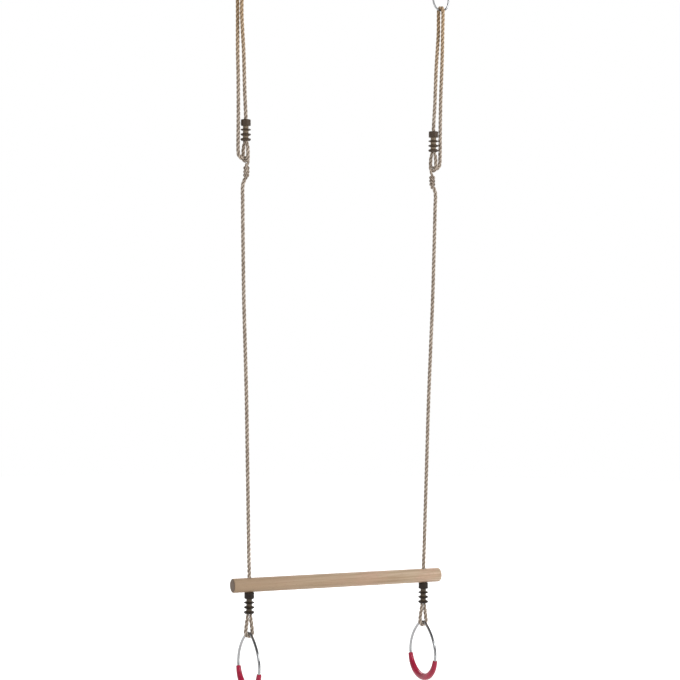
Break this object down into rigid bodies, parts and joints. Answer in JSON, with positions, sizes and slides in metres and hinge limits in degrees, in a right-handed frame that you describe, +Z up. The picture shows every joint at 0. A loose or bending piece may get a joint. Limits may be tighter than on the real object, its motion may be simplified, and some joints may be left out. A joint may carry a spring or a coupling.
{
  "type": "trapeze bar",
  "caption": "Hanging play trapeze: round wooden bar on two ropes with knots, ribbed ferrules and top hanging rings, and a wire hand ring with a sleeve grip under each bar end.",
  "frame": {"origin": "midway between the points where the two hanging rings hang from their hooks, which are the inner crowns of the two rings", "axes": "+Z up against the pull of the load, +X along the wooden bar towards the right-hand side as pictured, +Y away from the viewer, square to the bar"},
  "size_m": [0.6278, 0.1488, 1.8196],
  "materials": {
    "wooden_bar": "sanded beech, oiled, fine pores along the bar",
    "rope": "three-strand laid rope in a natural hemp colour, slightly hairy",
    "ferrule_plastic": "moulded dark brown, almost black, satin",
    "steel_wire": "bright plated steel wire",
    "grip_plastic": "smooth crimson moulding, glossy"
  },
  "bodies": {
    "hanging_rings": {"right_hanging_ring": "steel_wire", "left_hanging_ring": "steel_wire"},
    "trapeze": {"bar": "wooden_bar", "right_hanging_loop": "rope", "right_upper_ferrule": "ferrule_plastic", "right_upper_eye": "rope", "right_knot": "rope", "right_main_rope": "rope", "right_lower_ferrule": "ferrule_plastic", "left_hanging_loop": "rope", "left_upper_ferrule": "ferrule_plastic", "left_upper_eye": "rope", "left_knot": "rope", "left_main_rope": "rope", "left_lower_ferrule": "ferrule_plastic"},
    "right_eye": {"right_lower_eye": "rope"},
    "left_eye": {"left_lower_eye": "rope"},
    "right_hand": {"right_hand_ring": "steel_wire", "right_hand_grip": "grip_plastic"},
    "left_hand": {"left_hand_ring": "steel_wire", "left_hand_grip": "grip_plastic"}
  },
  "joints": [
    {"name": "trapeze_swing", "type": "hinge", "parent": "hanging_rings", "child": "trapeze", "pos_m": [0, 0, -0.0525], "axis": [1, 0, 0], "range_deg": [-60, 60]},
    {"name": "right_eye_bend", "type": "hinge", "parent": "trapeze", "child": "right_eye", "pos_m": [0.2465, 0, -1.612], "axis": [1, 0, 0], "range_deg": [-40, 40]},
    {"name": "left_eye_bend", "type": "hinge", "parent": "trapeze", "child": "left_eye", "pos_m": [-0.2465, 0, -1.612], "axis": [1, 0, 0], "range_deg": [-40, 40]},
    {"name": "right_ring_swing", "type": "hinge", "parent": "right_eye", "child": "right_hand", "pos_m": [0.2465, 0, -1.6603], "axis": [0, 1, 0], "range_deg": [-75, 75]},
    {"name": "left_ring_swing", "type": "hinge", "parent": "left_eye", "child": "left_hand", "pos_m": [-0.2465, 0, -1.6603], "axis": [0, 1, 0], "range_deg": [-75, 75]}
  ]
}
